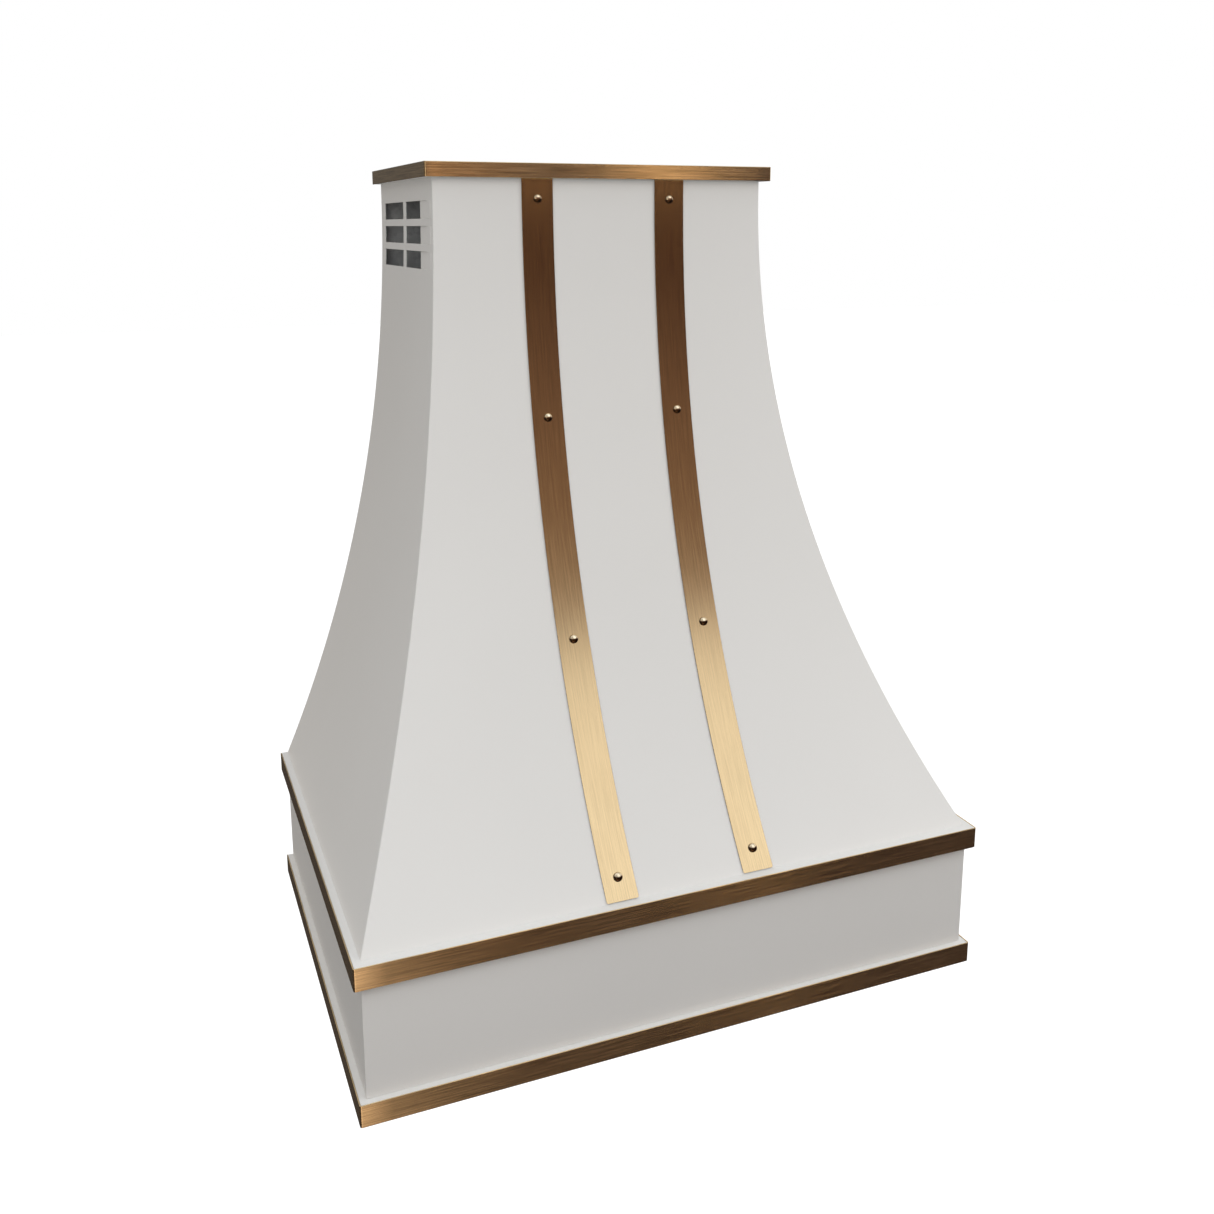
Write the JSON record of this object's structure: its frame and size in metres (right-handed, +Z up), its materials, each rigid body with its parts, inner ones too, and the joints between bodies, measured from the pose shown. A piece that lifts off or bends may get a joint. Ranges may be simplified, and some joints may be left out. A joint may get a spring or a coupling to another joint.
{
  "type": "kitchen range hood",
  "caption": "Wall-mounted kitchen range hood with a concave sweep body, brass bands and riveted straps, side vents, baffle filters and an internal blower.",
  "frame": {"origin": "middle of the footprint, level with the underside of the bottom band", "axes": "+Z up, +Y towards the wall, +X to the right for someone facing the hood"},
  "size_m": [0.762, 0.546, 0.976],
  "materials": {
    "paint": "satin off-white powder coat",
    "brass": "brushed along its length, lightly aged",
    "rivet_brass": "polished",
    "galvanised": "galvanised, dull",
    "stainless": "brushed",
    "dark_plastic": "matt black",
    "motor_case": "black enamel",
    "charcoal": "black plastic cassette",
    "lens": "frosted"
  },
  "bodies": {
    "hood": {"front_panel": "paint", "corner_flange_left": "paint", "corner_flange_right": "paint", "side_panel_left": "paint", "side_panel_right": "paint", "back_panel": "galvanised", "bottom_band": "brass", "bottom_ledge_frame": "paint", "apron": "paint", "mid_band": "brass", "mid_ledge_frame": "paint", "crown_cap": "paint", "crown_band": "brass", "strap_left": "brass", "strap_right": "brass", "rivet_left_1": "rivet_brass", "rivet_left_2": "rivet_brass", "rivet_left_3": "rivet_brass", "rivet_left_4": "rivet_brass", "rivet_right_1": "rivet_brass", "rivet_right_2": "rivet_brass", "rivet_right_3": "rivet_brass", "rivet_right_4": "rivet_brass", "liner_pan": "stainless", "lamp_can_left": "stainless", "lamp_can_right": "stainless", "lamp_lens_left": "lens", "lamp_lens_right": "lens", "control_plate": "stainless", "switch_housing": "dark_plastic", "blower_housing": "galvanised", "motor": "motor_case", "motor_bracket": "galvanised", "charcoal_filter_front": "charcoal", "charcoal_filter_rear": "charcoal", "support_rail_left": "galvanised", "support_rail_right": "galvanised", "duct_collar": "galvanised", "damper_pin": "stainless", "duct_riser": "galvanised", "air_diverter": "galvanised", "hanging_bar": "galvanised", "wiring_box": "galvanised", "wiring_lid": "galvanised", "cable_gland": "dark_plastic"},
    "impeller": {"impeller": "galvanised"},
    "damper_flap_left": {"damper_flap_left": "galvanised"},
    "damper_flap_right": {"damper_flap_right": "galvanised"},
    "filter_left": {"baffle_filter_left": "stainless", "filter_handle_left": "stainless"},
    "latch_left": {"filter_latch_left": "stainless"},
    "filter_right": {"baffle_filter_right": "stainless", "filter_handle_right": "stainless"},
    "latch_right": {"filter_latch_right": "stainless"},
    "button_power": {"button_power": "stainless"},
    "button_slow": {"button_slow": "stainless"},
    "button_fast": {"button_fast": "stainless"},
    "button_light": {"button_light": "stainless"}
  },
  "joints": [
    {"name": "impeller_spin", "type": "hinge", "parent": "hood", "child": "impeller", "pos_m": [-0.109, 0.135, 0.3], "axis": [0, 1, 0], "continuous": true},
    {"name": "damper_left_swing", "type": "hinge", "parent": "hood", "child": "damper_flap_left", "pos_m": [0, 0.135, 0.5], "axis": [0, 1, 0], "range_deg": [0, 75]},
    {"name": "damper_right_swing", "type": "hinge", "parent": "hood", "child": "damper_flap_right", "pos_m": [0, 0.135, 0.5], "axis": [0, -1, 0], "range_deg": [0, 75]},
    {"name": "filter_left_drop", "type": "hinge", "parent": "hood", "child": "filter_left", "pos_m": [-0.162, 0.176, 0.113], "axis": [1, 0, 0], "range_deg": [0, 18]},
    {"name": "latch_left_pull", "type": "slide", "parent": "filter_left", "child": "latch_left", "axis": [0, 1, 0], "range_m": [0, 0.006], "stiffness_N_per_m": 300},
    {"name": "filter_right_drop", "type": "hinge", "parent": "hood", "child": "filter_right", "pos_m": [0.162, 0.176, 0.113], "axis": [1, 0, 0], "range_deg": [0, 18]},
    {"name": "latch_right_pull", "type": "slide", "parent": "filter_right", "child": "latch_right", "axis": [0, 1, 0], "range_m": [0, 0.006], "stiffness_N_per_m": 300},
    {"name": "button_power_press", "type": "slide", "parent": "hood", "child": "button_power", "axis": [0, 0, 1], "range_m": [0, 0.0025], "stiffness_N_per_m": 400},
    {"name": "button_slow_press", "type": "slide", "parent": "hood", "child": "button_slow", "axis": [0, 0, 1], "range_m": [0, 0.0025], "stiffness_N_per_m": 400},
    {"name": "button_fast_press", "type": "slide", "parent": "hood", "child": "button_fast", "axis": [0, 0, 1], "range_m": [0, 0.0025], "stiffness_N_per_m": 400},
    {"name": "button_light_press", "type": "slide", "parent": "hood", "child": "button_light", "axis": [0, 0, 1], "range_m": [0, 0.0025], "stiffness_N_per_m": 400}
  ]
}
